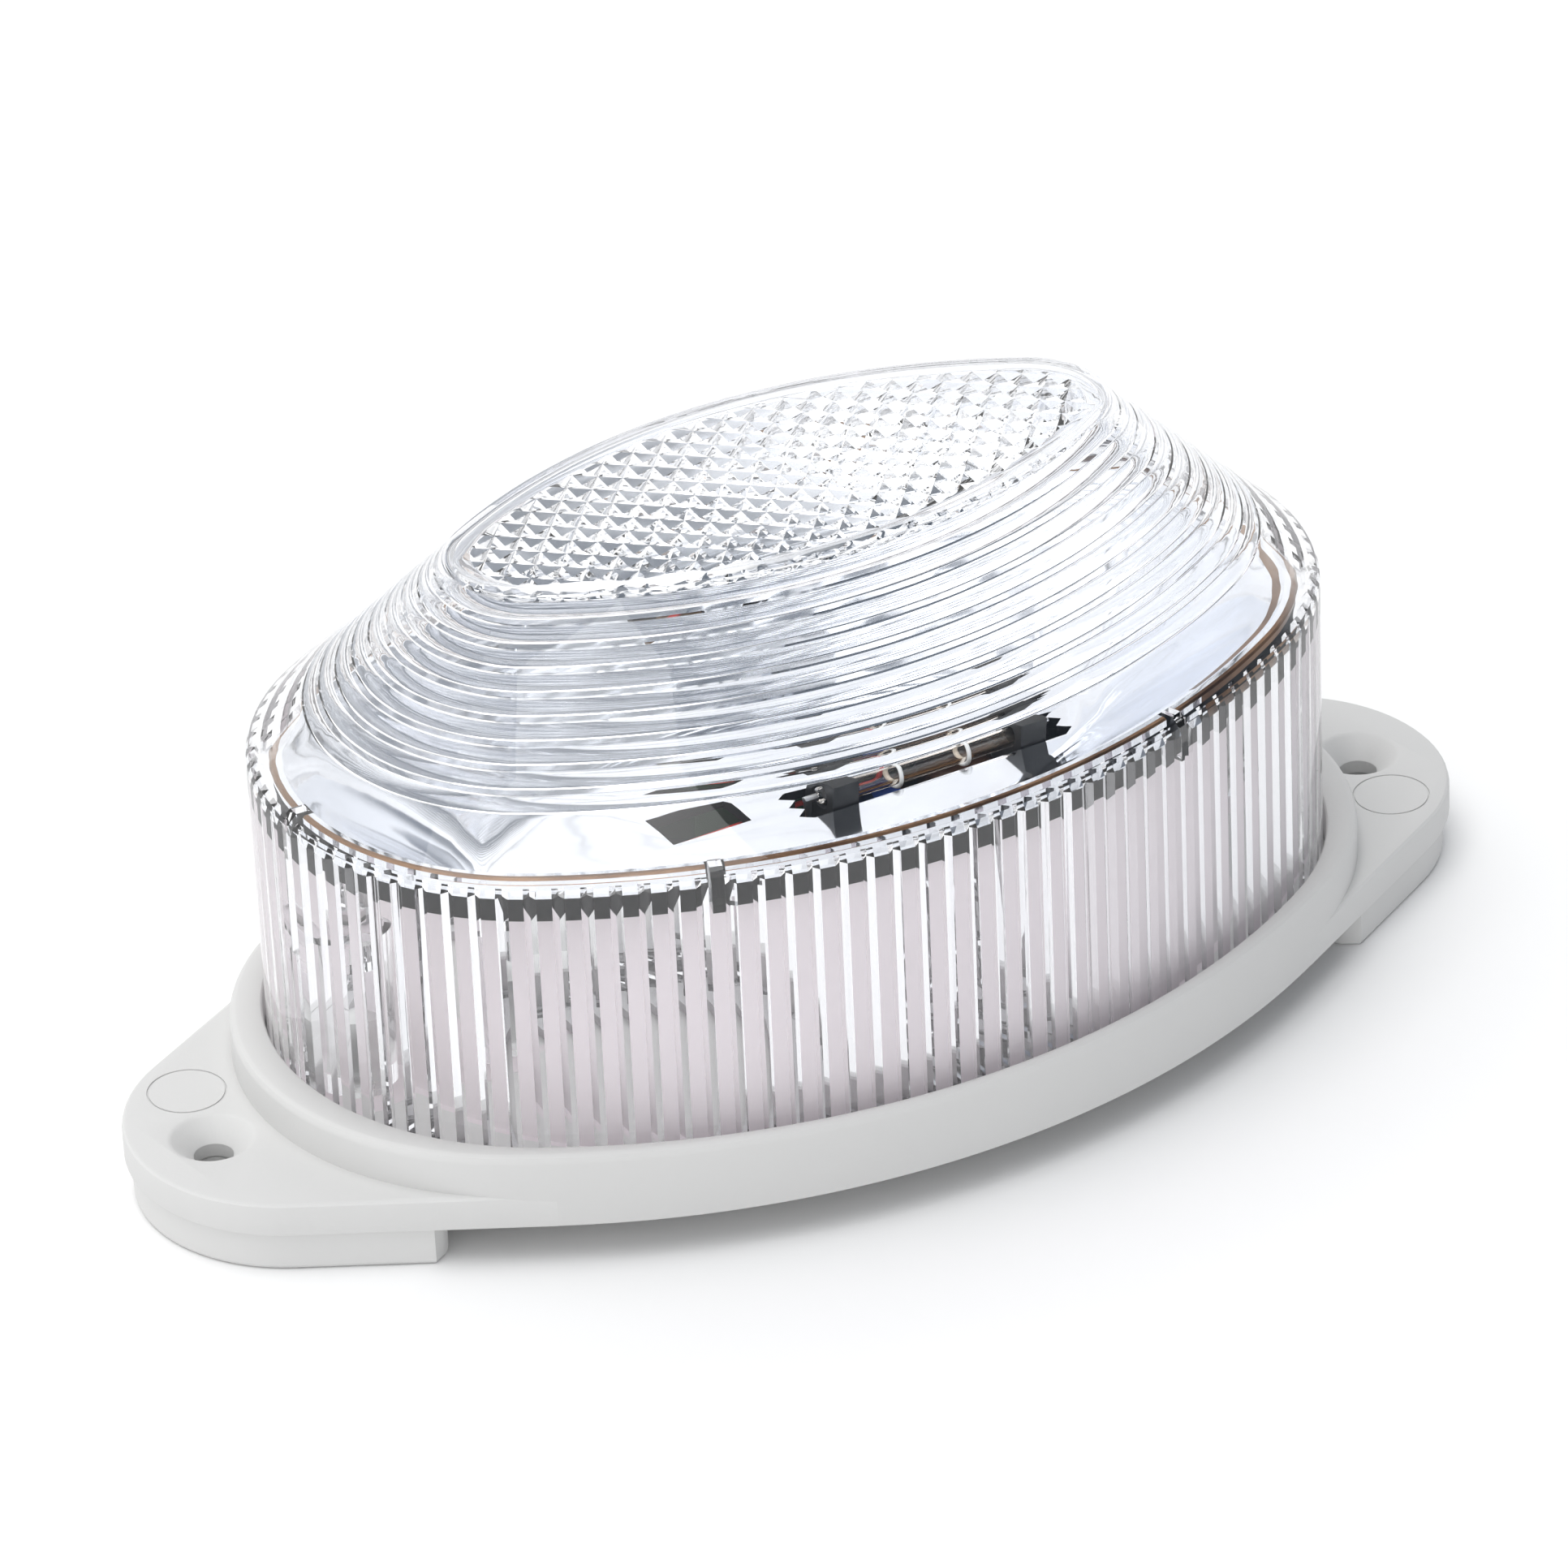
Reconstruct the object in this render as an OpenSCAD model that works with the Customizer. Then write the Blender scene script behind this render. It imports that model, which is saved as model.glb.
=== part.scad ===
/* [Lens] */
// Length of the oval lens wall
lens_l = 114.4; // [95:0.1:138]
// Width of the oval lens wall
lens_w = 75; // [66:0.1:90]
// Height of the upright lens wall, from its foot to the shoulder
wall_h = 33.3; // [31:0.1:40]
// Height of the sloping part above the shoulder
dome_h = 20.2; // [16:0.1:25]
// How far the flat top is set in from the lens wall
slope_inset = 21.3; // [17:0.1:22]
// Thickness of the lens
lens_t = 2; // [1.6:0.1:2.4]
// Thickness of the foam ring that the lens presses on
gasket_t = 1; // [0.8:0.1:1.5]
// Width of the foam ring
gasket_w = 3; // [2.4:0.1:3.1]

/* [Base moulding] */
// How far the body stands out beyond the lens at its two ends
rim_end_w = 4; // [3:0.1:5]
// How far the body stands out beyond the lens at its long sides
rim_side_w = 1.7; // [1.4:0.1:2.5]
// How far the ears stand out beyond the body
ear_reach = 13.8; // [11.5:0.1:17]
// Radius of the round end of each ear
ear_end_r = 17.3; // [15:0.1:19]
// Thickness of the ears
ear_t = 3.7; // [3:0.1:5]
// Height of the feet, which hold the back off the wall
foot_h = 4.2; // [3.4:0.1:8]
// How far the rim stands above the ears
rim_h = 4.5; // [3:0.1:8]
// Thickness of the base's walls and floors
base_wall = 2; // [1.6:0.1:2.4]
// How far the feet are set in from the outline of the ears
foot_inset = 0.7; // [0.4:0.1:1.5]
// Distance from an ear's tip to the inner edge of its foot
foot_l = 24; // [22:0.5:25]
// Width of each foot at its inner edge
foot_inner_w = 43.8; // [36:0.2:46]
// Radius of the feet's inner corners
foot_corner_r = 2; // [1:0.1:3]

/* [Wall screws] */
// Distance from an ear's tip to its screw hole
hole_edge = 8.05; // [7:0.05:9]
// Diameter of the wall screw holes
hole_d = 4; // [3.5:0.1:4.8]
// Diameter of the countersinks at the face of the ears
csk_d = 8.3; // [7.5:0.1:9]
// Depth of the countersinks
csk_depth = 2; // [1.5:0.1:2.4]
// Diameter of the round ejector mark on each ear
mark_d = 8; // [6:0.1:9]

/* [Inner housing] */
// Gap between the lens and the bucket of electronics at the two ends
bucket_end_gap = 11.7; // [11:0.1:14]
// Gap between the outside of the lens and the bucket at the long sides
bucket_side_gap = 3.3; // [3.3:0.1:4]

/* [Reflector] */
// Height of the reflector's outer skirt
skirt_h = 4.2; // [3.4:0.1:5.2]
// How far the dish floor is set in from the dish's rim
dish_inset = 17.6; // [15:0.1:19]
// Wall of the reflector
tray_t = 1.5; // [1.2:0.1:1.8]

/* [Flash tube] */
// Diameter of the glass tube
tube_d = 3.2; // [2.6:0.1:3.9]
// Length of the glass tube
tube_l = 26; // [21:0.5:27]
// Place of the tube's middle along the lamp
tube_x = 14; // [13:0.5:15]
// Place of the tube across the lamp
tube_y = -3; // [-4:0.1:-2]

/* [Circuit board] */
// Length of the circuit board
board_l = 60; // [58:0.5:62]
// Width of the circuit board
board_w = 38; // [36:0.5:38.5]
// Thickness of the circuit board
board_t = 1.6; // [1.2:0.1:2]
// Gap under the circuit board
board_gap = 2.8; // [2.4:0.1:3.4]
// Height kept for the components on the circuit board
bay_h = 11.3; // [11:0.1:13]

/* [Terminals] */
// Distance between the two terminals
pole_pitch = 8; // [7:0.5:9.5]
// Diameter of the wire holes
wire_hole_d = 2.4; // [2:0.1:2.8]
// How far a clamp rises as its screw is tightened
clamp_travel = 1.5; // [1.2:0.1:1.8]

/* [Cable entry] */
// Bore of the rubber grommet
grommet_bore = 7; // [5.8:0.1:7.4]

/* [Hidden] */
$fn = 96;

// Clearances
fit_gap = 0.3;     // between mouldings that slide past each other
screw_gap = 0.05;  // radial, around a screw in its hole
cut = 1;           // how far a cutting solid runs past a face
graze = 0.04;      // set back from a tangent, so that two faces cross and never only graze

// Each oval has four arcs, and its two end arcs meet its two side arcs in the direction
// [28, 45]. That direction is 53 long, so the arcs' centres come out as round numbers and
// the arcs meet exactly.
join = [28, 45];
join_len = 53;
join_reach = 2;
function arc_scale(o) = (o[0] - o[1]) / (join[0] + join[1] - join_len);

// Ovals: half length, half width
lens_oval = [lens_l / 2, lens_w / 2];
body_oval = lens_oval + [rim_end_w, rim_side_w];
bucket_oval = lens_oval - [bucket_end_gap, bucket_side_gap];
ear_tip_x = body_oval[0] + ear_reach;
hole_x = ear_tip_x - hole_edge;
foot_inner_x = ear_tip_x - foot_l;

// Heights above the wall
ear_top_z = foot_h + ear_t;
rim_top_z = ear_top_z + rim_h;
lens_foot_z = ear_top_z + gasket_t;
shoulder_z = lens_foot_z + wall_h;
top_z = shoulder_z + dome_h;
pan_top_z = foot_h + base_wall;
board_z = pan_top_z + board_gap;
board_top_z = board_z + board_t;

// Lens profile: upright wall, a short chamfer at the shoulder, then the long slope
shoulder_break = 1;
slope = (slope_inset - shoulder_break) / dome_h;
slope_side = lens_t * sqrt(1 + slope * slope);
function lens_inner_at(z) = shoulder_break + slope_side + (z - shoulder_z) * slope;
inner_shoulder_z = shoulder_z - (shoulder_break + slope_side - lens_t) / slope;

// Reflector profile, as insets from the lens wall
tray_top_z = shoulder_z - 1.6;
skirt_z = tray_top_z - skirt_h;
dish_under_z = board_top_z + bay_h;
dish_floor_z = dish_under_z + tray_t;
skirt_inset = lens_t + 0.8;
rim_inset = skirt_inset + 1.3;
dish_slope = dish_inset / (tray_top_z - dish_floor_z);
tray_side = tray_t * sqrt(1 + dish_slope * dish_slope);
function dish_inner_at(z) = rim_inset + (tray_top_z - z) * dish_slope;
function dish_outer_at(z) = dish_inner_at(z) - tray_side;

// Lens posts and the screws that enter them from behind
post_r = 3.4;
post_x = bucket_oval[0] + post_r + 1.1;
post_top_z = skirt_z - 10;
post_hole_top_z = post_top_z - 4;
web_t = 1.6;
lens_screw_r = 1.45;
lens_screw_l = 14;
lens_tip_l = 1.5;
lens_tip_r = 0.3;
lens_head_r = 2.75;
lens_head_h = 2;
lens_slot = [3.4, 0.7, 1];
boss_r = 4.6;

// Ribs under the lens shoulder, which hold the reflector by the notches in its skirt
rib_w = 1.3;
rib_x = 26.5;
rib_inset = skirt_inset + 0.9;
rib_top_z = tray_top_z + 0.2;
rib_bottom_z = skirt_z + 0.4;

// Circuit board fixings
board_y = -2;
board_hole_x = board_l / 2 - 3.5;
board_hole_y = board_w / 2 - 3.5;
board_screw_r = 1.1;
board_head_r = 2.1;
board_head_h = 1.4;
board_slot = [2.8, 0.6, 0.7];
board_screw_z = foot_h + 1.2;
standoff_r = 2.4;

// Tube and the opening in the dish floor that it lies in
tube_r = tube_d / 2;
tube_z = dish_floor_z + 0.4;
slot_w = tube_d + 3.2;
slot_l = tube_l + 5;
lead_hole = [-11, 0];
lead_hole_size = [9, 6];
holder_t = 3;
holder_w = slot_w - 2 * fit_gap;
electrode_r = 0.4;
electrode_l = 1.4;
electrode_x = tube_l / 2 + 1;
trigger_wire_r = 0.25;
ring_gap = 8;

// Terminal block, built up from the board
clamp_w = 4.4;
clamp_wall = 0.8;
clamp_top_t = 1.2;
wire_gap = wire_hole_d;
bar_t = 0.8;
bar_w = clamp_w - 2 * clamp_wall - 2 * fit_gap;
clamp_z = board_top_z + 0.6;
bar_z = clamp_z + clamp_wall + wire_gap;
clamp_h = clamp_wall + wire_gap + bar_t + fit_gap + clamp_top_t;
cavity_w = clamp_w + 2 * fit_gap;
cavity_top_z = clamp_z + clamp_h + clamp_travel + fit_gap;
ledge_t = 0.5;
pole_screw_r = 1.25;
pole_head_r = 1.9;
pole_head_h = 1.3;
pole_slot = [2 * pole_head_r, 0.6, 0.6];
pole_tip_z = bar_z + bar_t + fit_gap;
pole_head_z = cavity_top_z + ledge_t + screw_gap;
block_top_z = pole_head_z + pole_head_h + 0.2;
block_l = 2 * pole_pitch;
block_w = 10;
block_y = board_y + board_w / 2 - block_w / 2 - 0.5;

// Cable grommet, in the floor of the bucket beside the board
grommet_y = bucket_oval[1] - base_wall - grommet_bore / 2 - 4.2;
grommet_wall = 1.2;
grommet_lip = 1.2;
grommet_neck_r = grommet_bore / 2 + grommet_wall;
grommet_lip_r = grommet_neck_r + 1.3;

// Distances of the end arc's and the side arc's centres from the oval's middle, their radii,
// and an inset rounded to a micrometre
function end_x(o) = join[0] * arc_scale(o);
function end_r(o) = o[0] - end_x(o);
function side_y(o) = join[1] * arc_scale(o);
function side_r(o) = o[1] + side_y(o);
function micron(k) = round(1000 * k) / 1000;
function grown(o, d) = [o[0] + d, o[1] + d];

// The wedge in which the end arc of an oval holds
module end_wedge(o) {
    far = join_reach * join;
    polygon([[end_x(o), 0], [end_x(o) + far[0], -far[1]], [end_x(o) + far[0] + far[1], 0],
        [end_x(o) + far[0], far[1]]]);
}

// The rest of the plane, in which the side arcs hold
module side_field(o) {
    h = end_x(o);
    far = join_reach * join + [h, 0];
    polygon([[h, 0], far, [-far[0], far[1]], [-h, 0], -far, [far[0], -far[1]]]);
}

// Solid oval whose outline is set in by k0 at its bottom and by k1 at its top
module oval_solid(o, k0, k1, z0, z1) {
    in0 = micron(k0);
    in1 = micron(k1);
    for (s = [0, 1])
        mirror([s, 0, 0])
            intersection() {
                translate([end_x(o), 0, z0])
                    cylinder(h = z1 - z0, r1 = end_r(o) - in0, r2 = end_r(o) - in1);
                translate([0, 0, z0 - cut])
                    linear_extrude(z1 - z0 + 2 * cut) end_wedge(o);
            }
    intersection() {
        translate([0, side_y(o), z0])
            cylinder(h = z1 - z0, r1 = side_r(o) - in0, r2 = side_r(o) - in1, $fn = 240);
        translate([0, -side_y(o), z0])
            cylinder(h = z1 - z0, r1 = side_r(o) - in0, r2 = side_r(o) - in1, $fn = 240);
        translate([0, 0, z0 - cut])
            linear_extrude(z1 - z0 + 2 * cut) side_field(o);
    }
}

// Outline of the ear at +X, set in by d: a round end joined to the body by tangents
module ear_outline(d) {
    side = side_r(body_oval);
    drop = side_y(body_oval);
    ear_x = ear_tip_x - ear_end_r;
    inset = d + graze;
    n = -atan2(drop, ear_x) - acos((side - ear_end_r) / norm([ear_x, drop]));
    tip = [ear_x + (ear_end_r - inset) * cos(n), (ear_end_r - inset) * sin(n)];
    root = [(side - inset) * cos(n), drop + (side - inset) * sin(n)];
    translate([ear_x, 0]) circle(ear_end_r - d);
    polygon([tip, [tip[0], -tip[1]], [root[0], -root[1]], root]);
}

// Outline of the foot at +X, with rounded inner corners
module foot_outline() {
    corner_y = foot_inner_w / 2 - foot_corner_r;
    intersection() {
        ear_outline(foot_inset);
        union() {
            translate([foot_inner_x + foot_corner_r, -lens_w])
                square([foot_l, 2 * lens_w]);
            translate([foot_inner_x, -corner_y])
                square([2 * foot_corner_r, 2 * corner_y]);
            for (s = [-1, 1])
                translate([foot_inner_x + foot_corner_r, s * corner_y])
                    circle(foot_corner_r);
        }
    }
}

// The four places where the circuit board is screwed down
module at_board_screws(z) {
    for (x = [-board_hole_x, board_hole_x], y = [-board_hole_y, board_hole_y])
        translate([x, board_y + y, z]) children();
}

// The two ends of the lamp, the second turned half round
module both_ends() {
    children();
    rotate([0, 0, 180]) children();
}

// A rod along X, centred on the given point
module rod_x(p, l, r) {
    translate([p[0] - l / 2, p[1], p[2]]) rotate([0, 90, 0]) cylinder(h = l, r = r);
}

// ---- Base housing: rim, ring floor, bucket, ears and feet in one moulding

module rim() {
    bevel = 0.7;
    difference() {
        union() {
            oval_solid(body_oval, 0, 0, foot_h, rim_top_z - bevel);
            oval_solid(body_oval, 0, bevel, rim_top_z - bevel, rim_top_z);
        }
        oval_solid(grown(lens_oval, fit_gap), 0, 0, ear_top_z, rim_top_z + cut);
        oval_solid(body_oval, base_wall, base_wall, foot_h - cut, ear_top_z - base_wall);
    }
}

// Solid bucket, cut down at its ends to clear the underside of the dish
module bucket_block() {
    low_z = dish_under_z - fit_gap;
    high_z = skirt_z + cut;
    difference() {
        oval_solid(bucket_oval, 0, 0, foot_h, skirt_z);
        oval_solid(lens_oval, dish_outer_at(low_z) - 2 * fit_gap,
            dish_outer_at(high_z) - 2 * fit_gap, low_z, high_z);
    }
}

module end_solids() {
    difference() {
        translate([0, 0, foot_h]) linear_extrude(ear_t) ear_outline(0);
        oval_solid(body_oval, base_wall, base_wall, foot_h - cut, ear_top_z + cut);
    }
    linear_extrude(ear_top_z - base_wall) foot_outline();
    translate([post_x, 0, foot_h]) cylinder(h = ear_t, r = boss_r);
}

module end_holes() {
    groove = 0.25;
    mark_at = [hole_x - 1.6, -hole_d / 2 - mark_d / 2 - 2.9];
    translate([hole_x, 0, -cut]) cylinder(h = ear_top_z + 2 * cut, d = hole_d);
    translate([hole_x, 0, ear_top_z - csk_depth])
        cylinder(h = csk_depth, d1 = hole_d, d2 = csk_d);
    translate([mark_at[0], mark_at[1], ear_top_z - groove])
        difference() {
            cylinder(h = cut, d = mark_d);
            translate([0, 0, -cut]) cylinder(h = 3 * cut, d = mark_d - 2 * groove);
        }
    translate([post_x, 0, -cut]) cylinder(h = foot_h + cut, r = lens_head_r + 2 * fit_gap);
    translate([post_x, 0, foot_h - cut])
        cylinder(h = ear_t + 2 * cut, r = lens_screw_r + fit_gap);
}

module base_housing() {
    color("gainsboro")
        difference() {
            union() {
                difference() {
                    union() {
                        rim();
                        bucket_block();
                        both_ends() end_solids();
                    }
                    oval_solid(bucket_oval, base_wall, base_wall, pan_top_z, skirt_z + cut);
                }
                at_board_screws(foot_h) cylinder(h = board_z - foot_h, r = standoff_r);
            }
            both_ends() end_holes();
            at_board_screws(board_screw_z - 0.4)
                cylinder(h = board_z, r = board_screw_r + screw_gap);
            translate([0, grommet_y, foot_h - cut])
                cylinder(h = base_wall + 2 * cut, r = grommet_neck_r);
        }
}

// ---- Lens, its gasket and its screws

module lens_gasket() {
    color("dimgray")
        difference() {
            oval_solid(lens_oval, 0, 0, ear_top_z, lens_foot_z);
            oval_solid(lens_oval, gasket_w, gasket_w, ear_top_z - cut, lens_foot_z + cut);
        }
}

// Places a rib, or its notch, at the six stations around the lens
module at_ribs() {
    side = side_r(lens_oval);
    turn = asin(rib_x / side);
    for (mx = [0, 1], my = [0, 1])
        mirror([mx, 0, 0]) mirror([0, my, 0])
            translate([0, side_y(lens_oval), 0]) rotate([0, 0, turn - 90])
                translate([side, 0, 0]) children();
    for (mx = [0, 1])
        mirror([mx, 0, 0]) translate([lens_oval[0], 0, 0]) children();
}

module lens_shell() {
    difference() {
        union() {
            oval_solid(lens_oval, 0, 0, lens_foot_z, inner_shoulder_z);
            oval_solid(lens_oval, 0, shoulder_break, inner_shoulder_z, shoulder_z);
            oval_solid(lens_oval, shoulder_break, slope_inset, shoulder_z, top_z);
        }
        oval_solid(lens_oval, lens_t, lens_t, lens_foot_z - cut, inner_shoulder_z);
        oval_solid(lens_oval, lens_t, lens_inner_at(top_z - lens_t), inner_shoulder_z,
            top_z - lens_t);
    }
}

module lens_cover() {
    wall_x = lens_oval[0] - lens_t / 2;
    color("lightcyan", 0.4)
        difference() {
            union() {
                lens_shell();
                at_ribs()
                    translate([-rib_inset, -rib_w / 2, rib_bottom_z])
                        cube([rib_inset - lens_t / 2, rib_w, rib_top_z - rib_bottom_z]);
                both_ends() {
                    translate([post_x, 0, lens_foot_z])
                        cylinder(h = post_top_z - lens_foot_z, r = post_r);
                    translate([post_x, -web_t / 2, lens_foot_z])
                        cube([wall_x - post_x, web_t, post_top_z - lens_foot_z]);
                }
            }
            both_ends()
                translate([post_x, 0, lens_foot_z - cut])
                    cylinder(h = post_hole_top_z - lens_foot_z + cut, r = lens_screw_r + screw_gap);
        }
}

module lens_screws() {
    color("silver")
        both_ends()
            translate([post_x, 0, foot_h]) {
                difference() {
                    translate([0, 0, -lens_head_h]) cylinder(h = lens_head_h, r = lens_head_r);
                    for (a = [0, 90])
                        rotate([0, 0, a])
                            translate([-lens_slot[0] / 2, -lens_slot[1] / 2, -lens_head_h - cut])
                                cube(lens_slot + [0, 0, cut]);
                }
                cylinder(h = lens_screw_l - lens_tip_l, r = lens_screw_r);
                translate([0, 0, lens_screw_l - lens_tip_l])
                    cylinder(h = lens_tip_l, r1 = lens_screw_r, r2 = lens_tip_r);
            }
}

// ---- Reflector

module reflector_tray() {
    notch_w = rib_w + 2 * fit_gap;
    color("lightsteelblue")
        difference() {
            union() {
                oval_solid(lens_oval, dish_outer_at(dish_under_z), dish_outer_at(skirt_z + cut),
                    dish_under_z, skirt_z + cut);
                oval_solid(lens_oval, skirt_inset, skirt_inset, skirt_z, tray_top_z);
            }
            oval_solid(lens_oval, dish_inner_at(dish_floor_z), dish_inner_at(tray_top_z + cut),
                dish_floor_z, tray_top_z + cut);
            at_ribs()
                translate([-rib_inset - fit_gap, -notch_w / 2, skirt_z - cut])
                    cube([rib_inset, notch_w, skirt_h + 2 * cut]);
            translate([tube_x - slot_l / 2, tube_y - slot_w / 2, dish_under_z - cut])
                cube([slot_l, slot_w, tray_t + 2 * cut]);
            translate([lead_hole[0] - lead_hole_size[0] / 2, lead_hole[1] - lead_hole_size[1] / 2,
                dish_under_z - cut])
                cube([lead_hole_size[0], lead_hole_size[1], tray_t + 2 * cut]);
        }
}

// ---- Flash tube and its trigger

module flash_tube() {
    color("lightblue", 0.6)
        rod_x([tube_x, tube_y, tube_z], tube_l, tube_r);
}

module tube_electrodes() {
    color("silver")
        for (s = [-1, 1]) {
            rod_x([tube_x + s * (tube_l + electrode_l) / 2, tube_y, tube_z], electrode_l, electrode_r);
            translate([tube_x + s * electrode_x, tube_y, board_top_z])
                cylinder(h = tube_z - board_top_z, r = electrode_r, $fn = 24);
        }
}

module tube_holders() {
    color("black")
        for (s = [-1, 1])
            difference() {
                translate([tube_x + s * (tube_l / 2 - holder_t / 2 - 0.4) - holder_t / 2,
                    tube_y - holder_w / 2, board_top_z])
                    cube([holder_t, holder_w, tube_z + tube_r + 0.9 - board_top_z]);
                rod_x([tube_x, tube_y, tube_z], tube_l + 2, tube_r + screw_gap);
            }
}

module trigger_rings() {
    color("white")
        for (s = [-1, 1])
            translate([tube_x + s * ring_gap / 2, tube_y, tube_z])
                rotate([0, 90, 0])
                    rotate_extrude()
                        translate([tube_r + trigger_wire_r, 0]) circle(trigger_wire_r, $fn = 24);
}

// Points of the red lead: out of the coil, along under the dish and up through its slot to the
// first ring
lead_r = 0.35;
lead_y = tube_y + slot_w / 2 - fit_gap - lead_r;
lead_z = dish_under_z - 1.3;
coil_at = [-19, -2];
coil_r = 4;
coil_h = 9;
lead_route = [
    [coil_at[0], coil_at[1], board_top_z + coil_h + lead_r],
    [coil_at[0] + 1.6, coil_at[1] + 0.6, lead_z - 0.1],
    [lead_hole[0] - 3, lead_hole[1], lead_z],
    [lead_hole[0] + 3, lead_hole[1] + 0.3, lead_z],
    [lead_hole[0] + 9, lead_hole[1] + 0.8, lead_z],
    [tube_x - ring_gap / 2 - 7, lead_y + 1.4, lead_z],
    [tube_x - ring_gap / 2 - 2, lead_y + 0.8, lead_z],
    [tube_x - ring_gap / 2 - 0.5, lead_y + 0.2, lead_z + 0.3],
    [tube_x - ring_gap / 2, lead_y, lead_z + 1],
    [tube_x - ring_gap / 2, lead_y, tube_z - 0.9],
    [tube_x - ring_gap / 2, tube_y + tube_r + 2 * trigger_wire_r + lead_r, tube_z + 0.2]
];

// Tube of round section swept along a list of points
module swept(points, r, sides) {
    last = len(points) - 1;
    function unit(v) = v / norm(v);
    function heading(i) =
        unit(points[min(i + 1, last)] - points[max(i - 1, 0)]);
    function across(i) =
        let (t = heading(i), up = abs(t[2]) > 0.9 ? [0, 1, 0] : [0, 0, 1]) unit(cross(up, t));
    rings = [
        for (i = [0:last])
            let (t = heading(i), u = across(i), v = cross(t, u))
                for (j = [0:sides - 1])
                    points[i] + r * (cos(360 * j / sides) * u + sin(360 * j / sides) * v)
    ];
    walls = [
        for (i = [0:last - 1])
            for (j = [0:sides - 1])
                let (k = (j + 1) % sides)
                    [i * sides + j, i * sides + k, (i + 1) * sides + k, (i + 1) * sides + j]
    ];
    polyhedron(rings, concat(
        [[for (j = [0:sides - 1]) sides - 1 - j]],
        walls,
        [[for (j = [0:sides - 1]) last * sides + j]]
    ));
}

module trigger_lead() {
    color("crimson") swept(lead_route, lead_r, 8);
}

module trigger_coil() {
    color("ivory")
        translate([coil_at[0], coil_at[1], board_top_z]) {
            cylinder(h = 1, r = coil_r + 0.8);
            cylinder(h = coil_h, r = 1.8);
            translate([0, 0, coil_h - 0.9]) cylinder(h = 0.9, r = coil_r);
        }
}

module coil_winding() {
    color("peru")
        translate([coil_at[0], coil_at[1], board_top_z + 1])
            difference() {
                cylinder(h = coil_h - 1.9, r = coil_r - 0.4);
                translate([0, 0, -cut]) cylinder(h = coil_h + cut, r = 1.8);
            }
}

// ---- Circuit board and what is soldered to it

module circuit_board() {
    color("peru")
        difference() {
            translate([-board_l / 2, board_y - board_w / 2, board_z])
                cube([board_l, board_w, board_t]);
            at_board_screws(board_z - cut) cylinder(h = board_t + 2 * cut, r = board_screw_r + 0.2);
        }
}

module board_screws() {
    color("silver")
        at_board_screws(0) {
            translate([0, 0, board_screw_z])
                cylinder(h = board_top_z - board_screw_z, r = board_screw_r);
            difference() {
                translate([0, 0, board_top_z]) cylinder(h = board_head_h, r = board_head_r);
                for (a = [0, 90])
                    rotate([0, 0, a])
                        translate([-board_slot[0] / 2, -board_slot[1] / 2,
                            board_top_z + board_head_h - board_slot[2]])
                            cube(board_slot + [0, 0, cut]);
            }
        }
}

// Each axial component: middle x, y, body length, body radius, lead spread
cap_r = 4.5;
cap_l = 17;
cap_x = 14;
cap_y = board_y - board_w / 2 + cap_r + 0.8;
diode_x = 5.5;
diode_y = -7.8;
diode_r = 1.35;
diode_l = 5.2;
ballast_at = [16.2, 12.4];
ballast_r = 2.6;
ballast_l = 12;
timing_r = 1.15;
timing_l = 6.3;
timing_at = [-18.6, 12.5];
timing_pitch = 3.2;
axial = concat(
    [for (s = [-1, 1]) [s * cap_x, cap_y, cap_l, cap_r, 19]],
    [for (s = [-1, 1]) [s * diode_x, diode_y, diode_l, diode_r, 8.4]],
    [[ballast_at[0], ballast_at[1], ballast_l, ballast_r, 14.4]],
    [for (i = [0:2]) [timing_at[0], timing_at[1] - i * timing_pitch, timing_l, timing_r, 9]]
);
lift = 0.3;
lead_wire_r = 0.3;
solder_h = 0.8;
solder_tip_r = 0.4;
solder_r = 0.8;
function axis_z(r) = board_top_z + lift + r;

module can(i) {
    c = axial[i];
    rod_x([c[0], c[1], axis_z(c[3])], c[2], c[3]);
}

// Bent leads of the axial components, from the body's ends down to the board
module component_leads() {
    color("silver")
        for (c = axial, s = [-1, 1]) {
            leg = (c[4] - c[2]) / 2;
            rod_x([c[0] + s * (c[2] + leg) / 2, c[1], axis_z(c[3])], leg, lead_wire_r, $fn = 16);
            translate([c[0] + s * c[4] / 2, c[1], board_top_z])
                cylinder(h = axis_z(c[3]) - board_top_z, r = lead_wire_r, $fn = 16);
        }
}

// Solder cones under the board, one at each axial lead and each tube electrode
module solder_joints() {
    spots = concat(
        [for (c = axial, s = [-1, 1]) [c[0] + s * c[4] / 2, c[1]]],
        [for (s = [-1, 1]) [tube_x + s * electrode_x, tube_y]]
    );
    color("silver")
        for (p = spots)
            translate([p[0], p[1], board_z - solder_h])
                cylinder(h = solder_h, r1 = solder_tip_r, r2 = solder_r, $fn = 24);
}

module flash_capacitor_left() {
    color("darkslateblue") can(0);
}

module flash_capacitor_right() {
    color("darkslateblue") can(1);
}

module rectifier_diodes() {
    color("black") {
        can(2);
        can(3);
    }
}

module ballast_resistor() {
    color("lightgreen") can(4);
}

module timing_resistors() {
    color("tan")
        for (i = [5:7])
            can(i);
}

// Trigger capacitor: an upright block at the board's left edge
trigger_cap_size = [4.2, 7.5, 8];
trigger_cap_at = [-28.5, 1.2];

module trigger_capacitor() {
    color("firebrick")
        translate([trigger_cap_at[0], trigger_cap_at[1], board_top_z]) cube(trigger_cap_size);
}

// Thyristor: a short round case with one flat side
thyristor_at = [-10.9, 6.3];
thyristor_r = 2.3;
thyristor_h = 5;
thyristor_flat = 1.3;

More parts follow.
